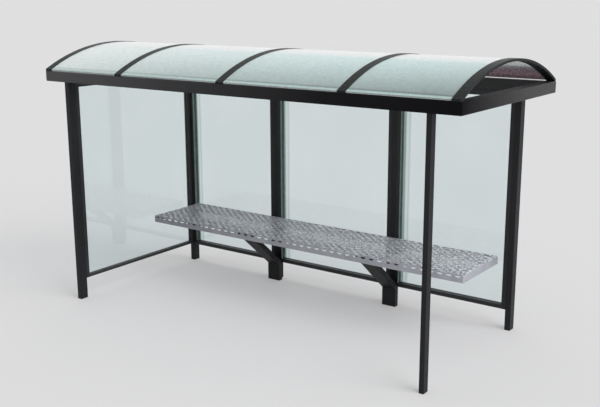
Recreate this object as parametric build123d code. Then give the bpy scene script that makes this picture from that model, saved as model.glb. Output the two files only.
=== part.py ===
from build123d import *
import math
import os

# Bus shelter: a rectangular roof ring on six posts, a barrel-vaulted roof of curved
# translucent sheets between arched glazing ribs, framed glass along the back and the
# left end, and a long perforated bench on two cranked brackets.
# Millimetres. +X runs along the shelter, the open front faces -Y, +Z is up.
# The origin is on the ground at the centre of the roof's plan.

# Roof ring
RING_LENGTH = 4282.0
RING_DEPTH = 1718.0
CLEAR_HEIGHT = 2100.0
BEAM_HEIGHT = 94.0
BEAM_WIDTH = 95.0
BEAM_RADIUS = 7.0
RING_CORNER_RADIUS = 9.0
TUBE_WALL = 4.0

# Posts: rectangular tube, deeper front to back than along the shelter
POST_WIDTH = 53.0
POST_DEPTH = 84.0
POST_RADIUS = 5.0
POST_SETBACK = 6.0
SLIM_POST_WIDTH = 42.0
SLIM_POST_DEPTH = 70.0
SLIM_POST_SETBACK = 50.0
END_OVERHANG = 252.0
MIDDLE_BAY = 1374.0

# Vaulted roof
RIB_WIDTH = 76.0
RIB_THICKNESS = 20.0
RIB_SETBACK = 7.0
RIB_CAP = 4.0
RIB_WALL = 4.0
RIB_END_CAP = 5.0
END_BAY_PITCH = 925.0
VAULT_RISE = 234.0
EAVES_HEIGHT = 18.0
SHEET_THICKNESS = 10.0
SHEET_GRIP = 22.0

# Glazing frames and glass
STILE_FACE = 38.0
BACK_FRAME_DEPTH = 68.0
BACK_RAIL_FACE = 37.0
BACK_RAIL_FOOT = 187.0
END_FRAME_DEPTH = 52.0
END_RAIL_FACE = 27.0
END_RAIL_FOOT = 197.0
TOP_RAIL_FACE = 50.0
FRAME_WALL = 3.0
FRAME_CHAMFER = 2.0
GLASS_THICKNESS = 8.0
GLASS_GRIP = 14.0

# Bench
BENCH_TOP = 663.0
BENCH_THICKNESS = 69.0
BENCH_LENGTH = 3499.0
BENCH_DEPTH = 679.0
BENCH_SHEET = 4.0
BENCH_RADIUS = 6.0
BEARER_WIDTH = 60.0
BACK_BEARER_SETBACK = 60.0
BRACKET_WIDTH = 143.0
BRACKET_THICKNESS = 50.0
BRACE_SLOPE = 40.7
KNEE_HEIGHT = 174.0

# Clearance left round every sheet and pane in its groove
FIT_GAP = 0.3

RING_TOP = CLEAR_HEIGHT + BEAM_HEIGHT
POST_X = RING_LENGTH / 2 - END_OVERHANG - POST_WIDTH / 2
POST_Y = RING_DEPTH / 2 - POST_SETBACK - POST_DEPTH / 2
SLIM_POST_X = RING_LENGTH / 2 - END_OVERHANG - SLIM_POST_WIDTH / 2
SLIM_POST_Y = RING_DEPTH / 2 - SLIM_POST_SETBACK - SLIM_POST_DEPTH / 2
POST_FRONT = POST_Y - POST_DEPTH / 2


def box_section(width, depth, radius, wall):
    """Rectangular tube section with rounded outer corners, centred on the origin."""
    return RectangleRounded(width, depth, radius) - Rectangle(width - 2 * wall, depth - 2 * wall)


# Roof ring -----------------------------------------------------------------------------

def ring_blank(inset):
    """Solid ring lying the given distance inside the ring's outer skin on every side."""
    outline = RectangleRounded(
        RING_LENGTH - 2 * inset, RING_DEPTH - 2 * inset, RING_CORNER_RADIUS - inset)
    margin = 2 * (BEAM_WIDTH - inset)
    opening = Rectangle(RING_LENGTH - margin, RING_DEPTH - margin)
    return extrude(outline - opening, BEAM_HEIGHT / 2 - inset, both=True)


def ring_beams():
    """The four beams of the ring, hollow and mitred where they meet."""
    shell = ring_blank(0)
    rims = shell.faces().sort_by(Axis.Z)
    shell = fillet(rims[0].edges() + rims[-1].edges(), BEAM_RADIUS)
    ring = Pos(0, 0, CLEAR_HEIGHT + BEAM_HEIGHT / 2) * (shell - ring_blank(TUBE_WALL))

    half_length = RING_LENGTH / 2
    half_depth = RING_DEPTH / 2
    ridge = half_length - half_depth
    front = make_face(Polyline(
        (-half_length, -half_depth), (half_length, -half_depth), (ridge, 0), (-ridge, 0), close=True))
    left = make_face(Polyline(
        (-half_length, -half_depth), (-ridge, 0), (-half_length, half_depth), close=True))
    beams = {}
    for name, plan in (("front_beam", front), ("back_beam", mirror(front, about=Plane.XZ)),
                       ("left_beam", left), ("right_beam", mirror(left, about=Plane.YZ))):
        block = Pos(0, 0, CLEAR_HEIGHT) * extrude(plan, BEAM_HEIGHT, dir=(0, 0, 1))
        beams[name] = ring & block
    return beams


# Vaulted roof --------------------------------------------------------------------------

VAULT_HALF_SPAN = RING_DEPTH / 2
VAULT_SAGITTA = VAULT_RISE - EAVES_HEIGHT
VAULT_RADIUS = (VAULT_HALF_SPAN ** 2 + VAULT_SAGITTA ** 2) / (2 * VAULT_SAGITTA)
VAULT_AXIS_HEIGHT = RING_TOP + VAULT_RISE - VAULT_RADIUS
VAULT_AXIS = Axis((0, 0, VAULT_AXIS_HEIGHT), (1, 0, 0))
SHEET_RADIUS = VAULT_RADIUS - RIB_CAP
HALF_RIB_RUN = RING_LENGTH / 2 - RIB_SETBACK - RIB_WIDTH / 2
RIB_CENTRES = (-HALF_RIB_RUN, END_BAY_PITCH - HALF_RIB_RUN, 0.0, HALF_RIB_RUN - END_BAY_PITCH, HALF_RIB_RUN)


def section_at(radius, x, width, thickness):
    """Upright rectangle in the XZ plane whose top edge lies on the given vault radius."""
    return Plane.XZ * Pos(x, VAULT_AXIS_HEIGHT + radius - thickness / 2) * Rectangle(width, thickness)


def sweep_over_vault(section, end_inset):
    """Turn a section about the vault's axis, trimmed at the ring's top and near its faces."""
    reach = VAULT_HALF_SPAN + RIB_THICKNESS
    sweep_angle = math.degrees(math.asin(reach / VAULT_RADIUS))
    arch = revolve(section, axis=VAULT_AXIS, revolution_arc=2 * sweep_angle)
    arch = arch.rotate(VAULT_AXIS, -sweep_angle)
    room = Box(RING_LENGTH, RING_DEPTH - 2 * end_inset, 2 * VAULT_RISE)
    return arch & Pos(0, 0, RING_TOP + VAULT_RISE) * room


def roof_rib(x, groove_sides):
    """Hollow arched glazing bar, closed at its feet, with a groove along each sheeted side."""
    section = section_at(VAULT_RADIUS, x, RIB_WIDTH, RIB_THICKNESS)
    chamber_width = RIB_WIDTH - 2 * (SHEET_GRIP + RIB_WALL)
    hollow = section_at(VAULT_RADIUS - RIB_WALL, x, chamber_width, RIB_THICKNESS - 2 * RIB_WALL)
    groove_height = SHEET_THICKNESS + 2 * FIT_GAP
    for side in groove_sides:
        groove_x = x + side * (RIB_WIDTH - SHEET_GRIP) / 2
        hollow += section_at(SHEET_RADIUS + FIT_GAP, groove_x, SHEET_GRIP, groove_height)
    return sweep_over_vault(section, 0) - sweep_over_vault(hollow, RIB_END_CAP)


def roof_sheet(left_rib, right_rib):
    """Curved sheet gripped by the two ribs at the given centres."""
    reach = RIB_WIDTH / 2 - SHEET_GRIP + FIT_GAP
    width = right_rib - left_rib - 2 * reach
    middle = (left_rib + right_rib) / 2
    section = section_at(SHEET_RADIUS, middle, width, SHEET_THICKNESS)
    return sweep_over_vault(section, RIB_END_CAP + FIT_GAP)


def vaulted_roof():
    names = ("left_end", "left", "middle", "right", "right_end")
    roof = {}
    for number, (name, x) in enumerate(zip(names, RIB_CENTRES)):
        sides = [side for side in (-1, 1) if 0 <= number + side < len(names)]
        roof[f"roof_rib_{name}"] = roof_rib(x, sides)
    sheet_names = ("left_end", "left_middle", "right_middle", "right_end")
    for name, left_rib, right_rib in zip(sheet_names, RIB_CENTRES[:-1], RIB_CENTRES[1:]):
        roof[f"roof_sheet_{name}"] = roof_sheet(left_rib, right_rib)
    return roof


# Posts ---------------------------------------------------------------------------------

def post(width, depth):
    """Tube from the ground to the underside of the ring, closed at both ends."""
    bar = extrude(RectangleRounded(width, depth, POST_RADIUS), CLEAR_HEIGHT)
    bore = Rectangle(width - 2 * TUBE_WALL, depth - 2 * TUBE_WALL)
    return bar - Pos(0, 0, TUBE_WALL) * extrude(bore, CLEAR_HEIGHT - 2 * TUBE_WALL)


def posts():
    inner_x = MIDDLE_BAY / 2
    places = {
        "front_left_post": (-POST_X, -POST_Y),
        "back_left_post": (-POST_X, POST_Y),
        "back_inner_left_post": (-inner_x, POST_Y),
        "back_inner_right_post": (inner_x, POST_Y),
        "back_right_post": (POST_X, POST_Y),
    }
    standing = {name: Pos(x, y, 0) * post(POST_WIDTH, POST_DEPTH) for name, (x, y) in places.items()}
    slim = post(SLIM_POST_WIDTH, SLIM_POST_DEPTH)
    standing["front_right_slim_post"] = Pos(SLIM_POST_X, -SLIM_POST_Y, 0) * slim
    return standing


# Glazing -------------------------------------------------------------------------------

def frame_section(face, depth):
    """Hollow frame bar section with a glass groove in the edge that faces +Y."""
    groove = Pos(0, (face - GLASS_GRIP) / 2) * Rectangle(GLASS_THICKNESS + 2 * FIT_GAP, GLASS_GRIP)
    chamber_height = face - GLASS_GRIP - 2 * FRAME_WALL
    chamber = Pos(0, (FRAME_WALL + chamber_height / 2) - face / 2)
    chamber *= Rectangle(depth - 2 * FRAME_WALL, chamber_height)
    outline = chamfer(Rectangle(depth, face).vertices(), FRAME_CHAMFER)
    return outline - groove - chamber


def glazed_bay(width, depth, rail_face, rail_foot):
    """One framed pane. It runs along +X from the origin and is centred on the XZ plane."""
    stile = extrude(frame_section(STILE_FACE, depth), CLEAR_HEIGHT - rail_foot)
    left_stile = Pos(STILE_FACE / 2, 0, rail_foot) * Rot(0, 0, -90) * stile
    right_stile = Pos(width - STILE_FACE / 2, 0, rail_foot) * Rot(0, 0, 90) * stile
    rail_length = width - 2 * STILE_FACE
    lay_along = Pos(STILE_FACE, 0, 0) * Rot(0, 90, 0) * Rot(0, 0, 90)
    bottom_rail = lay_along * extrude(frame_section(rail_face, depth), rail_length)
    bottom_rail = Pos(0, 0, rail_foot + rail_face / 2) * bottom_rail
    top_rail = lay_along * extrude(frame_section(TOP_RAIL_FACE, depth), rail_length)
    top_rail = Pos(0, 0, CLEAR_HEIGHT - TOP_RAIL_FACE / 2) * mirror(top_rail, about=Plane.XY)
    engaged = GLASS_GRIP - FIT_GAP
    pane_width = rail_length + 2 * engaged
    pane_foot = rail_foot + rail_face - engaged
    pane_height = CLEAR_HEIGHT - TOP_RAIL_FACE + engaged - pane_foot
    pane = Pos(width / 2, 0, pane_foot + pane_height / 2) * Box(pane_width, GLASS_THICKNESS, pane_height)
    return {"left_stile": left_stile, "right_stile": right_stile,
            "bottom_rail": bottom_rail, "top_rail": top_rail, "glass": pane}


def glazing():
    frame_y = POST_FRONT + BACK_FRAME_DEPTH / 2
    inner_x = MIDDLE_BAY / 2
    bays = {
        "back_left": (-POST_X, -inner_x),
        "back_middle": (-inner_x, inner_x),
        "back_right": (inner_x, POST_X),
    }
    pieces = {}
    for bay, (from_x, to_x) in bays.items():
        width = to_x - from_x - POST_WIDTH
        place = Pos(from_x + POST_WIDTH / 2, frame_y, 0)
        bay_pieces = glazed_bay(width, BACK_FRAME_DEPTH, BACK_RAIL_FACE, BACK_RAIL_FOOT)
        for piece, solid in bay_pieces.items():
            pieces[f"{bay}_{piece}"] = place * solid
    end_width = 2 * POST_FRONT
    end_place = Pos(-POST_X, -POST_FRONT, 0) * Rot(0, 0, 90)
    side_names = {"left_stile": "front_stile", "right_stile": "back_stile"}
    end_pieces = glazed_bay(end_width, END_FRAME_DEPTH, END_RAIL_FACE, END_RAIL_FOOT)
    for piece, solid in end_pieces.items():
        pieces[f"left_end_{side_names.get(piece, piece)}"] = end_place * solid
    return pieces


# Bench ---------------------------------------------------------------------------------

BENCH_BACK = POST_FRONT
BENCH_FRONT = BENCH_BACK - BENCH_DEPTH
BENCH_UNDERSIDE = BENCH_TOP - BENCH_THICKNESS


def bench_seat():
    """Folded sheet tray, open underneath."""
    place = Pos(0, (BENCH_FRONT + BENCH_BACK) / 2, (BENCH_TOP + BENCH_UNDERSIDE) / 2)
    slab = Box(BENCH_LENGTH, BENCH_DEPTH, BENCH_THICKNESS)
    slab = fillet(slab.edges().filter_by(Axis.Z) + slab.faces().sort_by(Axis.Z)[-1].edges(), BENCH_RADIUS)
    hollow = Box(BENCH_LENGTH - 2 * BENCH_SHEET, BENCH_DEPTH - 2 * BENCH_SHEET, BENCH_THICKNESS)
    return place * (slab - Pos(0, 0, -BENCH_SHEET) * hollow)


def bracket_profile():
    """Side outline of a cranked bracket: up the post, then forward to the bench."""
    slope = math.radians(BRACE_SLOPE)
    foot_front = POST_FRONT - BRACKET_THICKNESS
    rise = BENCH_UNDERSIDE - KNEE_HEIGHT
    tip_front = foot_front - rise / math.tan(slope)
    tip_back = tip_front + BRACKET_THICKNESS / math.sin(slope)
    inner_knee = BENCH_UNDERSIDE - (POST_FRONT - tip_back) * math.tan(slope)
    outline = Polyline(
        (foot_front, 0), (foot_front, KNEE_HEIGHT), (tip_front, BENCH_UNDERSIDE),
        (tip_back, BENCH_UNDERSIDE), (POST_FRONT, inner_knee), (POST_FRONT, 0), close=True)
    return make_face(outline), inner_knee, (tip_front + tip_back) / 2


def bench_brackets():
    """Each bracket is a foot and a brace, cut where the crank's mitre runs."""
    profile, inner_knee, tip = bracket_profile()
    body = extrude(Plane.YZ * profile, BRACKET_WIDTH / 2, both=True)
    core = offset(profile, -TUBE_WALL, kind=Kind.INTERSECTION)
    body -= extrude(Plane.YZ * core, BRACKET_WIDTH / 2 - TUBE_WALL, both=True)
    foot_front = POST_FRONT - BRACKET_THICKNESS
    mitre = make_face(Polyline(
        (foot_front - BRACKET_THICKNESS, 0), (foot_front - BRACKET_THICKNESS, KNEE_HEIGHT),
        (foot_front, KNEE_HEIGHT), (POST_FRONT, inner_knee), (POST_FRONT, 0), close=True))
    foot_block = extrude(Plane.YZ * mitre, BRACKET_WIDTH, both=True)
    foot = body & foot_block
    brace = body - foot_block
    pieces = {}
    for name, x in (("left", -MIDDLE_BAY / 2), ("right", MIDDLE_BAY / 2)):
        pieces[f"bench_foot_{name}"] = Pos(x, 0, 0) * foot
        pieces[f"bench_brace_{name}"] = Pos(x, 0, 0) * brace
    return pieces, tip


def bench_bearers(front_y):
    """Two lengthwise tubes under the seat sheet, between the tray's ends."""
    height = BENCH_THICKNESS - BENCH_SHEET
    length = BENCH_LENGTH - 2 * BENCH_SHEET
    section = box_section(height, BEARER_WIDTH, BENCH_RADIUS, BENCH_SHEET)
    tube = Rot(0, 90, 0) * extrude(section, length / 2, both=True)
    z = BENCH_UNDERSIDE + height / 2
    back_y = BENCH_BACK - BACK_BEARER_SETBACK
    return Compound(children=[Pos(0, front_y, z) * tube, Pos(0, back_y, z) * tube])


def bench():
    pieces, tip = bench_brackets()
    pieces["bench_seat"] = bench_seat()
    pieces["bench_bearers"] = bench_bearers(tip)
    return pieces


# Assembly ------------------------------------------------------------------------------

os.makedirs("parts", exist_ok=True)
assembly = {**ring_beams(), **vaulted_roof(), **posts(), **glazing(), **bench()}
for node, solid in assembly.items():
    export_step(solid, f"parts/{node}.step")
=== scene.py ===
import bpy
import bmesh
import math
from mathutils import Matrix, Vector

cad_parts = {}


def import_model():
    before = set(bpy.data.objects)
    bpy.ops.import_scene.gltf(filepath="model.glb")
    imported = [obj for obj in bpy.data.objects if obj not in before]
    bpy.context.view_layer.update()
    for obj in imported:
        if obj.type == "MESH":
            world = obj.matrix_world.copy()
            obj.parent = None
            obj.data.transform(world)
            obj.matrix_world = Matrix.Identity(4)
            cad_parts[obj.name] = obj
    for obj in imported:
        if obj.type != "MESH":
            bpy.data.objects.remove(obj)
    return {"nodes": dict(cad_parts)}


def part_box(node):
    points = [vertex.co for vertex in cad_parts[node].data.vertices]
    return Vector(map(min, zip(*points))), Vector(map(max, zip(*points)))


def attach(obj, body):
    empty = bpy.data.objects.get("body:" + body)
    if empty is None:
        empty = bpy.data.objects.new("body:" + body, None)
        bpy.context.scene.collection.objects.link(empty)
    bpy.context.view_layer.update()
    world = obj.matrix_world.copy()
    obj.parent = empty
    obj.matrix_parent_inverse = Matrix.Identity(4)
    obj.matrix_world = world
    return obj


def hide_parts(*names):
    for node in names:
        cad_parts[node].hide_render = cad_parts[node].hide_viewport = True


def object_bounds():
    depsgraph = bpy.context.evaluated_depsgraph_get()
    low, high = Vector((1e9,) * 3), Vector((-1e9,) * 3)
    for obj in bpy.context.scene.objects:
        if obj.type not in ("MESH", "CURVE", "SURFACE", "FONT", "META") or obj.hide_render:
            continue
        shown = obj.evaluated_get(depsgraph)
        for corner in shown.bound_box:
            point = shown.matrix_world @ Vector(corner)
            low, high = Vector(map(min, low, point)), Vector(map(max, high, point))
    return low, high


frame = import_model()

cad_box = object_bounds()
nodes = frame["nodes"]


def linear(*srgb):
    """Linear colour of an sRGB triple given in 0-255."""
    out = []
    for value in srgb:
        value = value / 255
        out.append(value / 12.92 if value <= 0.04045 else ((value + 0.055) / 1.055) ** 2.4)
    return (*out, 1.0)


# Materials -----------------------------------------------------------------------------

WHITE = (1.0, 1.0, 1.0, 1.0)
SATIN = (0.36, 0.48)
EDGE_LINES_WIDTH = 0.1
ROOF_PAINTED_LIGHT_REACH = 1.9
BENCH_PAINTED_LIGHT_REACH = 1.7


class Graph:
    """Small helper for building a node tree."""

    def __init__(self, tree):
        self.tree = tree

    def node(self, kind, **inputs):
        made = self.tree.nodes.new(kind)
        for key, value in inputs.items():
            made.inputs[key.replace("_", " ")].default_value = value
        return made

    def link(self, source, target):
        self.tree.links.new(source, target)

    def feed(self, value, target):
        """Link a socket to the target, or set a plain number or colour on it."""
        if isinstance(value, bpy.types.NodeSocket):
            self.link(value, target)
        else:
            target.default_value = value

    def spread(self, source, low, high, start=0.3, end=0.7, curve="LINEAR"):
        """Map a value from start-end to low-high."""
        made = self.node("ShaderNodeMapRange", From_Min=start, From_Max=end, To_Min=low, To_Max=high)
        made.interpolation_type = curve
        self.link(source, made.inputs["Value"])
        return made.outputs["Result"]

    def maths(self, operation, first, second):
        made = self.node("ShaderNodeMath")
        made.operation = operation
        self.link(first, made.inputs[0])
        self.link(second, made.inputs[1])
        return made.outputs["Value"]

    def either(self, first, second):
        """The larger of two values."""
        return self.maths("MAXIMUM", first, second)

    def mix(self, share, first, second):
        """Shader that runs from the first to the second."""
        made = self.node("ShaderNodeMixShader")
        self.feed(share, made.inputs["Fac"])
        self.link(first, made.inputs[1])
        self.link(second, made.inputs[2])
        return made.outputs["Shader"]

    def seen_ray(self):
        """1 for the rays through which the camera sees a surface."""
        path = self.node("ShaderNodeLightPath")
        seen = self.either(path.outputs["Is Camera Ray"], path.outputs["Is Glossy Ray"])
        return self.either(seen, path.outputs["Is Transmission Ray"])

    def unseen_ray(self):
        """1 for the rays that only carry light, so that glass casts no heavy shadow."""
        path = self.node("ShaderNodeLightPath")
        return self.either(path.outputs["Is Shadow Ray"], path.outputs["Is Diffuse Ray"])


class Shader(Graph):
    """Node material over the object's own coordinates."""

    def __init__(self, name):
        self.material = bpy.data.materials.new(name)
        self.material.use_nodes = True
        super().__init__(self.material.node_tree)
        self.bsdf = self.tree.nodes["Principled BSDF"]
        self.output = self.tree.nodes["Material Output"]
        self.coords = self.node("ShaderNodeTexCoord")

    def noise(self, scale, detail=3.0, stretch=(1, 1, 1)):
        """Noise over the object's own coordinates, in features per metre."""
        mapping = self.node("ShaderNodeMapping", Scale=stretch)
        self.link(self.coords.outputs["Object"], mapping.inputs["Vector"])
        made = self.node("ShaderNodeTexNoise", Scale=scale, Detail=detail)
        self.link(mapping.outputs["Vector"], made.inputs["Vector"])
        return made.outputs["Fac"]

    def cells(self, scale):
        """Cell pattern over the object's own coordinates, in cells per metre."""
        made = self.node("ShaderNodeTexVoronoi", Scale=scale)
        self.link(self.coords.outputs["Object"], made.inputs["Vector"])
        return made

    def ramp(self, source, stops):
        """Colour ramp with (position, colour) stops."""
        made = self.node("ShaderNodeValToRGB")
        ramp = made.color_ramp
        while len(ramp.elements) < len(stops):
            ramp.elements.new(0.5)
        for element, (position, colour) in zip(ramp.elements, stops):
            element.position = position
            element.color = colour
        self.link(source, made.inputs["Fac"])
        return made.outputs["Color"]

    def bump(self, height, distance, strength, after=None):
        made = self.node("ShaderNodeBump", Strength=strength, Distance=distance)
        self.link(height, made.inputs["Height"])
        if after is not None:
            self.link(after, made.inputs["Normal"])
        return made.outputs["Normal"]

    def axis(self, letter):
        """The object's own X, Y or Z in metres."""
        split = self.node("ShaderNodeSeparateXYZ")
        self.link(self.coords.outputs["Object"], split.inputs["Vector"])
        return split.outputs[letter]

    def facing(self, letter, start, end):
        """0 to 1 as the surface's normal turns along an axis from start to end."""
        shape = self.node("ShaderNodeNewGeometry")
        split = self.node("ShaderNodeSeparateXYZ")
        self.link(shape.outputs["Normal"], split.inputs["Vector"])
        return self.spread(split.outputs[letter], 0.0, 1.0, start, end)

    def multiply(self, first, second):
        made = self.node("ShaderNodeVectorMath")
        made.operation = "MULTIPLY"
        self.link(first, made.inputs[0])
        self.link(second, made.inputs[1])
        return made.outputs["Vector"]

    def mottle(self, colour, source, low, high, start=0.3, end=0.7):
        """Colour made darker or lighter by a source, from low to high."""
        return self.multiply(colour, self.spread(source, low, high, start, end))

    def fade(self, share, first, second):
        """Colour that runs from the first to the second, which may be a plain colour."""
        made = self.node("ShaderNodeMix")
        made.data_type = "RGBA"
        self.link(share, made.inputs["Factor"])
        self.link(first, made.inputs["A"])
        self.feed(second, made.inputs["B"])
        return made.outputs["Result"]

    def show(self, surface):
        self.link(surface, self.output.inputs["Surface"])


def finish_coat(shader, colour, roughness, specular, dull, peel_depth=0.5):
    """Gives a paint its roughness range, a faint orange peel and a share of dull chalking."""
    shader.link(colour, shader.bsdf.inputs["Base Color"])
    shader.link(shader.spread(shader.noise(40.0), *roughness), shader.bsdf.inputs["Roughness"])
    shader.bsdf.inputs["Specular IOR Level"].default_value = specular
    peel = shader.bump(shader.noise(700.0, 2.0), 0.0002, peel_depth)
    shader.link(peel, shader.bsdf.inputs["Normal"])
    chalk = shader.node("ShaderNodeBsdfDiffuse")
    shader.link(colour, chalk.inputs["Color"])
    shader.link(peel, chalk.inputs["Normal"])
    shader.show(shader.mix(dull, shader.bsdf.outputs["BSDF"], chalk.outputs["BSDF"]))
    return shader.material


def powder_coat(name, dark, light, roughness, specular, dull):
    """Charcoal paint with a slow drift of tone."""
    shader = Shader(name)
    colour = shader.ramp(shader.noise(3.0, 4.0), [(0.3, dark), (0.7, light)])
    return finish_coat(shader, colour, roughness, specular, dull)


def stile_with_painted_side_light():
    """Charcoal stile with painted light: the faces that look along X get a lighter grey-green tone,
    standing in for how those faces look lit behind the tinted glass.
    """
    shader = Shader("charcoal_stile")
    tone = shader.ramp(shader.noise(3.0, 4.0), [(0.3, linear(30, 31, 32)), (0.7, linear(37, 38, 39))])
    # Painted light on the side faces, chosen by the direction of the normal.
    painted_side_light = shader.ramp(shader.noise(30.0, 2.0),
                         [(0.3, linear(82, 94, 90)), (0.7, linear(96, 108, 104))])
    inner = shader.either(shader.facing("X", 0.85, 0.95), shader.facing("X", -0.85, -0.95))
    colour = shader.fade(inner, tone, painted_side_light)
    return finish_coat(shader, colour, SATIN, 0.3, 0.2, peel_depth=0.4)


def painted_reflection_coat(name, axis, stops):
    """Charcoal paint with painted reflection and shade: its tone and dull share run lighter and darker
    along one axis of the bar.

    The stops are (metres along the axis, tone, dull share)."""
    shader = Shader(name)
    start, end = stops[0][0], stops[-1][0]
    along = shader.spread(shader.axis(axis), 0.0, 1.0, start, end)
    places = [(at - start) / (end - start) for at, _, _ in stops]
    painted_reflection_tones = [(place, linear(tone, tone, tone + 2)) for place, (_, tone, _) in zip(places, stops)]
    dulls = [(place, (dull, dull, dull, 1.0)) for place, (_, _, dull) in zip(places, stops)]
    # The ramp paints reflection and shade along the bar into the paint's colour.
    colour = shader.mottle(shader.ramp(along, painted_reflection_tones), shader.noise(3.0, 4.0), 0.9, 1.1)
    return finish_coat(shader, colour, SATIN, 0.4, shader.ramp(along, dulls))


def clear_glass(name, edge=None):
    """Float glass with a pale aqua tint that lets the light through to the ground.

    With an edge, which is an X in metres, painted lines run up the pane beside it: dark green and light
    bands standing in for the pane's edge seen through the glass."""
    shader = Shader(name)
    tint = shader.ramp(shader.noise(1.5, 2.0),
                       [(0.3, linear(232, 242, 242)), (0.7, linear(236, 245, 246))])
    if edge is not None:
        # Painted reflection of the pane's edge: dark and light bands set by distance from the stile.
        painted_edge_lines = [(0.0, linear(166, 182, 177)), (0.10, linear(196, 206, 203)),
                 (0.24, linear(158, 172, 167)), (0.36, linear(160, 174, 169)),
                 (0.46, linear(240, 244, 243)), (0.66, linear(232, 238, 237)),
                 (0.76, linear(214, 222, 221)), (0.88, linear(252, 253, 253)), (1.0, WHITE)]
        beside = shader.spread(shader.axis("X"), 0.0, 1.0, edge, edge + EDGE_LINES_WIDTH)
        tint = shader.multiply(tint, shader.ramp(beside, painted_edge_lines))
    shader.link(tint, shader.bsdf.inputs["Base Color"])
    shader.bsdf.inputs["Roughness"].default_value = 0.0
    shader.bsdf.inputs["IOR"].default_value = 1.5
    shader.bsdf.inputs["Transmission Weight"].default_value = 1.0
    wave = shader.bump(shader.noise(2.5, 1.0), 0.0006, 0.3)
    shader.link(wave, shader.bsdf.inputs["Normal"])
    clear = shader.node("ShaderNodeBsdfTransparent", Color=linear(246, 248, 248))
    shader.show(shader.mix(shader.unseen_ray(), shader.bsdf.outputs["BSDF"], clear.outputs["BSDF"]))
    return shader.material


def sheet_top_with_painted_light(shader, speck, rise):
    """Aqua tone of the upper face with painted light: lighter to the left and higher up, a painted
    white highlight at the crown, and painted shade at the eaves as a darker strip with a faint darker
    band above it.
    """
    # Painted light: lighter to the left and darker to the right, and lighter higher up the vault.
    along = shader.spread(shader.axis("X"), 0.0, 1.0, -ROOF_PAINTED_LIGHT_REACH, ROOF_PAINTED_LIGHT_REACH)
    low_painted_light = shader.ramp(along, [(0.0, linear(224, 236, 235)), (0.35, linear(172, 190, 188)),
                                    (0.6, linear(158, 176, 174)), (1.0, linear(124, 140, 139))])
    high_painted_light = shader.ramp(along, [(0.0, linear(238, 250, 249)), (0.7, linear(216, 243, 242)),
                                     (1.0, linear(208, 235, 234))])
    tint = shader.fade(rise, low_painted_light, high_painted_light)
    # Painted highlight: white along the crown.
    tint = shader.fade(shader.spread(rise, 0.0, 1.0, 0.90, 1.0), tint, WHITE)
    # Painted shade: a darker strip at the eaves and a faint darker band just above it.
    eaves_painted_shade = shader.ramp(speck, [(0.3, linear(176, 206, 201)), (0.7, linear(190, 216, 212))])
    tint = shader.fade(shader.spread(rise, 0.0, 1.0, 0.105, 0.095), tint, eaves_painted_shade)
    eaves_shade_band = shader.ramp(rise, [(0.10, WHITE), (0.125, linear(216, 220, 219)), (0.165, WHITE)])
    return shader.mottle(shader.multiply(tint, eaves_shade_band), shader.noise(24.0, 3.0), 0.94, 1.04)


def sheet_underside(shader, rise):
    """Maroon tone of the lower face, pale towards the crown."""
    under = shader.ramp(rise, [(0.0, linear(150, 124, 133)), (0.40, linear(140, 120, 128)),
                               (0.52, linear(150, 148, 151)), (0.60, linear(206, 212, 212)),
                               (0.66, WHITE)])
    return shader.mottle(under, shader.noise(70.0, 3.0), 0.5, 1.4, 0.35, 0.65)


def pebbled_sheet():
    """Frosted roof sheet with a fine pebbled face."""
    shader = Shader("frosted_sheet")
    eaves, crown = (corner.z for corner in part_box("roof_sheet_left_end"))
    speck = shader.noise(110.0, 3.0)
    rise = shader.spread(shader.axis("Z"), 0.0, 1.0, eaves, crown)
    tint = shader.fade(shader.facing("Z", 0.1, -0.1), sheet_top_with_painted_light(shader, speck, rise),
                       sheet_underside(shader, rise))
    tint = shader.mottle(tint, speck, 0.84, 1.1)
    shader.link(tint, shader.bsdf.inputs["Base Color"])
    shader.bsdf.inputs["Roughness"].default_value = 0.2
    shader.bsdf.inputs["IOR"].default_value = 1.6
    pebbles = shader.bump(shader.cells(95.0).outputs["Distance"], 0.003, 0.25)
    fine = shader.bump(speck, 0.001, 0.4, after=pebbles)
    shader.link(fine, shader.bsdf.inputs["Normal"])
    glow = shader.node("ShaderNodeBsdfTranslucent")
    shader.link(tint, glow.inputs["Color"])
    shader.link(fine, glow.inputs["Normal"])
    body = shader.mix(0.15, shader.bsdf.outputs["BSDF"], glow.outputs["BSDF"])
    clear = shader.node("ShaderNodeBsdfTransparent", Color=linear(240, 242, 242))
    shader.show(shader.mix(shader.unseen_ray(), body, clear.outputs["BSDF"]))
    return shader.material


def galvanised_mesh():
    """Zinc-grey perforated sheet: spangled top with painted glints and strand shade, plain sides, and
    painted light that runs from darker at the left to brighter at the right.
    """
    shader = Shader("perforated_steel")
    spangle = shader.ramp(shader.cells(140.0).outputs["Color"],
                          [(0.15, linear(146, 150, 155)), (0.85, linear(200, 204, 209))])
    # Painted glints and shade of the strands' facets, on the top only.
    painted_glints = shader.noise(66.0, 3.0, (1.0, 0.5, 1.0))
    top = shader.mottle(spangle, painted_glints, 0.42, 1.5, 0.38, 0.62)
    sides = shader.ramp(shader.noise(8.0, 2.0),
                        [(0.3, linear(152, 153, 161)), (0.7, linear(166, 167, 174))])
    tone = shader.fade(shader.facing("Z", 0.5, 0.9), sides, top)
    # Painted light and reflection: darker towards the left end, brighter towards the right.
    tone = shader.mottle(tone, shader.axis("X"), 0.74, 1.16, -BENCH_PAINTED_LIGHT_REACH, BENCH_PAINTED_LIGHT_REACH)
    shader.link(tone, shader.bsdf.inputs["Base Color"])
    shader.bsdf.inputs["Metallic"].default_value = 0.25
    shader.link(shader.spread(shader.noise(60.0), 0.35, 0.55), shader.bsdf.inputs["Roughness"])
    grain = shader.bump(shader.noise(500.0, 3.0), 0.0004, 0.6)
    shader.link(grain, shader.bsdf.inputs["Normal"])
    return shader.material


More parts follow.
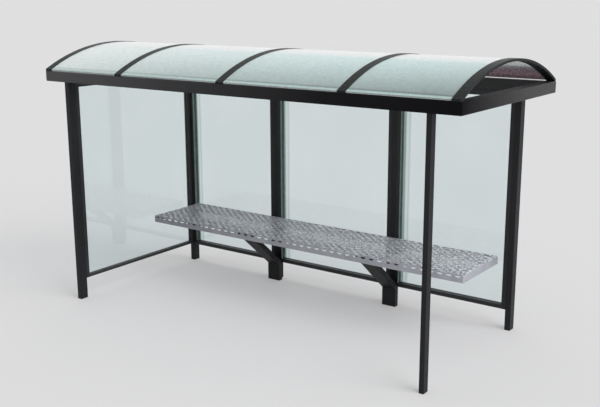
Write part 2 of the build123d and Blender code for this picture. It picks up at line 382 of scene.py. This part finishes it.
paint = powder_coat("charcoal_paint", linear(24, 25, 27), linear(31, 32, 34), (0.40, 0.52), 0.28, 0.3)
bars = powder_coat("charcoal_bars", linear(33, 34, 35), linear(41, 42, 43), SATIN, 0.35, 0.15)
ribs = powder_coat("charcoal_ribs", linear(27, 31, 31), linear(34, 38, 38), (0.2, 0.3), 0.3, 0.62)
# Painted reflection and shade: the front beam is lighter at its left end and darker towards the right.
front = painted_reflection_coat("charcoal_front_beam", "X",
                      [(-2.14, 58, 0.0), (-1.2, 50, 0.1), (-0.4, 42, 0.35),
                       (0.3, 34, 0.6), (1.0, 25, 0.85), (2.14, 21, 0.95)])
# Painted shade and light: the side beams are darker at the front and lighter towards the back.
side = painted_reflection_coat("charcoal_side_beam", "Y",
                     [(-0.86, 17, 0.9), (-0.3, 31, 0.5), (0.25, 39, 0.2), (0.86, 42, 0.15)])
glass = clear_glass("tinted_glass")
stiles = stile_with_painted_side_light()
frosted = pebbled_sheet()
steel = galvanised_mesh()


def paint_node(name, material):
    slots = nodes[name].data.materials
    slots.clear()
    slots.append(material)


for name in nodes:
    if name.startswith("back_") and name.endswith("_glass"):
        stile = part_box(name.replace("glass", "left_stile"))
        paint_node(name, clear_glass(name + "_tint", stile[1].x))
    elif name.endswith("_glass"):
        paint_node(name, glass)
    elif name.startswith("roof_sheet"):
        paint_node(name, frosted)
    elif name.startswith("roof_rib"):
        paint_node(name, ribs)
    elif name.startswith("back_") and name.endswith("stile"):
        paint_node(name, stiles)
    elif name.endswith(("stile", "rail")) or name == "back_beam":
        paint_node(name, bars)
    elif name in ("bench_seat", "bench_bearers"):
        paint_node(name, steel)
    elif name == "front_beam":
        paint_node(name, front)
    elif name in ("right_beam", "left_beam"):
        paint_node(name, side)
    else:
        paint_node(name, paint)


# Bench seat ----------------------------------------------------------------------------

BENCH_COLUMNS = 42
BENCH_ROWS = 20
ROW_PITCH = 0.0345
FIRST_ROW = 0.0345
HOLE_WIDTH = 0.052
HOLE_HEIGHT = 0.025
HOLE_POWER = 1.5
FOLD_RADIUS = 0.010
SHEET = 0.004
CELL_PARTS = 4
FASCIA_PARTS = 3
BACK_PARTS = 16
FOLD_PARTS = 4
SAME_PLACE = 1e-5
WELD_DISTANCE = 0.0002


def bench_profile(inset):
    """Returns a function from a run along the folded sheet to (y, z), and the whole run.

    The run starts at the front hem. The inset draws the outline in, for the folded ends."""
    low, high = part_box("bench_seat")
    turn = FOLD_RADIUS - inset
    fascia = high.z - low.z - FOLD_RADIUS
    bend = FOLD_RADIUS * math.pi / 2
    top = high.y - low.y - 2 * FOLD_RADIUS

    def place(run):
        if run <= fascia:
            return low.y + inset, low.z + run
        run -= fascia
        if run <= bend:
            angle = run / FOLD_RADIUS
            return (low.y + FOLD_RADIUS - turn * math.cos(angle),
                    high.z - FOLD_RADIUS + turn * math.sin(angle))
        run -= bend
        if run <= top:
            return low.y + FOLD_RADIUS + run, high.z - inset
        run -= top
        if run <= bend:
            angle = run / FOLD_RADIUS
            return (high.y - FOLD_RADIUS + turn * math.sin(angle),
                    high.z - FOLD_RADIUS + turn * math.cos(angle))
        return high.y - inset, high.z - FOLD_RADIUS - (run - bend)

    return place, 2 * fascia + 2 * bend + top


def distinct(corners):
    """The corners without those that lie on the one before."""
    return [at for number, at in enumerate(corners) if (at - corners[number - 1]).length > SAME_PLACE]


def add_bench_ends(shape, edge_runs, start_x, end_x):
    """Rounds the sheet down over each end and closes it with a plain end face."""
    for edge_x, outward in ((start_x, -1), (end_x, 1)):
        rings = []
        for part in range(FOLD_PARTS + 1):
            angle = math.pi / 2 * part / FOLD_PARTS
            place, _ = bench_profile(FOLD_RADIUS * (1 - math.cos(angle)))
            x = edge_x + outward * FOLD_RADIUS * math.sin(angle)
            rings.append([Vector((x, *place(run))) for run in edge_runs])
        for inner, outer in zip(rings, rings[1:]):
            for index in range(len(edge_runs) - 1):
                corners = [inner[index], inner[index + 1], outer[index + 1], outer[index]]
                shape.faces.new([shape.verts.new(at) for at in distinct(corners)])
        shape.faces.new([shape.verts.new(at) for at in distinct(rings[-1])])


def bench_mesh():
    """Folded sheet with staggered lozenge openings over the top and one row in the front."""
    low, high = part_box("bench_seat")
    place, whole_run = bench_profile(0.0)
    start_x, end_x = low.x + FOLD_RADIUS, high.x - FOLD_RADIUS
    pitch = (end_x - start_x) / BENCH_COLUMNS
    step = pitch / CELL_PARTS
    row_step = ROW_PITCH / CELL_PARTS
    fascia_step = FIRST_ROW / FASCIA_PARTS
    centre = CELL_PARTS / 2
    parts = range(CELL_PARTS)
    cell = [(part, 0) for part in parts] + [(CELL_PARTS, part) for part in parts]
    cell += [(CELL_PARTS - part, CELL_PARTS) for part in parts]
    cell += [(0, CELL_PARTS - part) for part in parts]
    shape = bmesh.new()

    def point(x, run):
        return shape.verts.new((x, *place(run)))

    def patch(x, run, width, height):
        corners = ((x, run), (x + width, run), (x + width, run + height), (x, run + height))
        shape.faces.new([point(*corner) for corner in corners])

    def opening(x, run):
        """One opening in a cell a pitch wide and a row high."""
        outer, inner = [], []
        for column, row in cell:
            outer.append((x + column * step, run + row * row_step))
            angle = math.atan2(row - centre, column - centre)
            across, along = math.cos(angle), math.sin(angle)
            reach = (abs(across) ** HOLE_POWER + abs(along) ** HOLE_POWER) ** (-1 / HOLE_POWER)
            inner.append((x + pitch / 2 + HOLE_WIDTH / 2 * reach * across,
                          run + ROW_PITCH / 2 + HOLE_HEIGHT / 2 * reach * along))
        for index in range(len(cell)):
            after = (index + 1) % len(cell)
            ring = (outer[index], outer[after], inner[after], inner[index])
            shape.faces.new([point(*at) for at in ring])

    for column in range(CELL_PARTS * BENCH_COLUMNS):
        for part in range(FASCIA_PARTS):
            patch(start_x + column * step, part * fascia_step, step, fascia_step)
    for row in range(BENCH_ROWS):
        run = FIRST_ROW + row * ROW_PITCH
        shift = (row % 2) * pitch / 2
        for column in range(BENCH_COLUMNS - row % 2):
            opening(start_x + shift + column * pitch, run)
        if shift:
            for x in (start_x, start_x + step, end_x - 2 * step, end_x - step):
                for part in range(CELL_PARTS):
                    patch(x, run + part * row_step, step, row_step)
    back_run = FIRST_ROW + BENCH_ROWS * ROW_PITCH
    back_step = (whole_run - back_run) / BACK_PARTS
    for column in range(CELL_PARTS * BENCH_COLUMNS):
        for part in range(BACK_PARTS):
            patch(start_x + column * step, back_run + part * back_step, step, back_step)
    edge_runs = [part * fascia_step for part in range(FASCIA_PARTS)]
    edge_runs += [FIRST_ROW + part * row_step for part in range(CELL_PARTS * BENCH_ROWS)]
    edge_runs += [back_run + part * back_step for part in range(BACK_PARTS + 1)]
    add_bench_ends(shape, edge_runs, start_x, end_x)
    bmesh.ops.remove_doubles(shape, verts=shape.verts, dist=WELD_DISTANCE)
    bmesh.ops.recalc_face_normals(shape, faces=shape.faces)
    data = bpy.data.meshes.new("bench_perforated_sheet")
    shape.to_mesh(data)
    shape.free()
    sheet = bpy.data.objects.new("bench_perforated_sheet", data)
    bpy.context.scene.collection.objects.link(sheet)
    data.materials.append(steel)
    thicken = sheet.modifiers.new("thickness", "SOLIDIFY")
    thicken.thickness = SHEET
    thicken.offset = -1.0
    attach(sheet, "root")
    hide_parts("bench_seat")


bench_mesh()


# Floor, light and camera ---------------------------------------------------------------

FLOOR_REACH = 300.0
FLOOR_DROP = 0.0005
FLOOR_SHINE = 0.33

# Strength of the light from the horizon and from straight above, and of the areas
# (direction, strength) that brighten towards their middle.
HORIZON_LIGHT = 0.36
ZENITH_LIGHT = 0.64
KEY_AREAS = [((0.82, -0.06, 0.50), 3.9), ((-0.45, 0.50, 0.70), 0.3)]
KEY_EDGE = 0.80
BACKDROP = 0.745

LENS = 54.4814
EYE = (4.81605, -6.38455, 2.93949)
YAW, PITCH, ROLL = 0.62853, -0.23298, -0.00357


def ground():
    """Pale floor that takes the shadow, with a share of even tone where the camera sees it."""
    shader = Shader("studio_floor")
    tone = shader.ramp(shader.noise(0.4, 2.0),
                       [(0.2, linear(224, 224, 225)), (0.8, linear(226, 226, 227))])
    shader.link(tone, shader.bsdf.inputs["Base Color"])
    shader.bsdf.inputs["Roughness"].default_value = 0.9
    shader.bsdf.inputs["Specular IOR Level"].default_value = 0.1
    shine = shader.node("ShaderNodeEmission", Color=linear(225, 225, 226), Strength=1.0)
    share = shader.spread(shader.seen_ray(), 0.0, FLOOR_SHINE, 0.0, 1.0)
    shader.show(shader.mix(share, shader.bsdf.outputs["BSDF"], shine.outputs["Emission"]))
    data = bpy.data.meshes.new("studio_floor")
    corners = [(-1, -1), (1, -1), (1, 1), (-1, 1)]
    data.from_pydata([(FLOOR_REACH * x, FLOOR_REACH * y, 0) for x, y in corners], [], [(0, 1, 2, 3)])
    floor = bpy.data.objects.new("studio_floor", data)
    floor.location.z = cad_box[0].z - FLOOR_DROP
    bpy.context.scene.collection.objects.link(floor)
    data.materials.append(shader.material)


def world():
    """Overhead studio light with two soft key areas, one on the right and one behind on the left.

    The camera sees the floor's tone behind the shelter, and reflections see plain white."""
    made = bpy.data.worlds.new("studio")
    made.use_nodes = True
    graph = Graph(made.node_tree)
    sky = graph.tree.nodes["Background"]
    sky.inputs["Color"].default_value = WHITE
    coords = graph.node("ShaderNodeTexCoord")

    def toward(direction):
        dot = graph.node("ShaderNodeVectorMath")
        dot.operation = "DOT_PRODUCT"
        dot.inputs[1].default_value = Vector(direction).normalized()
        graph.link(coords.outputs["Generated"], dot.inputs[0])
        return dot.outputs["Value"]

    light = graph.spread(toward((0, 0, 1)), HORIZON_LIGHT, ZENITH_LIGHT, 0.0, 1.0)
    for direction, strength in KEY_AREAS:
        key = graph.spread(toward(direction), 0.0, strength, KEY_EDGE, 1.0, "SMOOTHERSTEP")
        light = graph.maths("ADD", light, key)
    graph.link(light, sky.inputs["Strength"])
    plain = graph.node("ShaderNodeBackground", Color=WHITE)
    path = graph.node("ShaderNodeLightPath")
    graph.link(graph.spread(path.outputs["Is Camera Ray"], 1.0, BACKDROP, 0.0, 1.0),
               plain.inputs["Strength"])
    surface = graph.mix(graph.seen_ray(), sky.outputs["Background"], plain.outputs["Background"])
    graph.link(surface, graph.tree.nodes["World Output"].inputs["Surface"])
    bpy.context.scene.world = made


def camera():
    lens = bpy.data.cameras.new("camera")
    lens.sensor_width = 36.0
    lens.lens = LENS
    lens.clip_end = 1000.0
    seen = bpy.data.objects.new("camera", lens)
    ahead = Vector((-math.sin(YAW) * math.cos(PITCH), math.cos(YAW) * math.cos(PITCH), math.sin(PITCH)))
    right = Vector((math.cos(YAW), math.sin(YAW), 0.0))
    up = right.cross(ahead)
    right, up = (math.cos(ROLL) * right + math.sin(ROLL) * up,
                 math.cos(ROLL) * up - math.sin(ROLL) * right)
    turn = Matrix((right, up, -ahead)).transposed()
    seen.matrix_world = Matrix.Translation(EYE) @ turn.to_4x4()
    bpy.context.scene.collection.objects.link(seen)
    bpy.context.scene.camera = seen


ground()
world()
camera()

bpy.context.scene.view_settings.view_transform = "Standard"
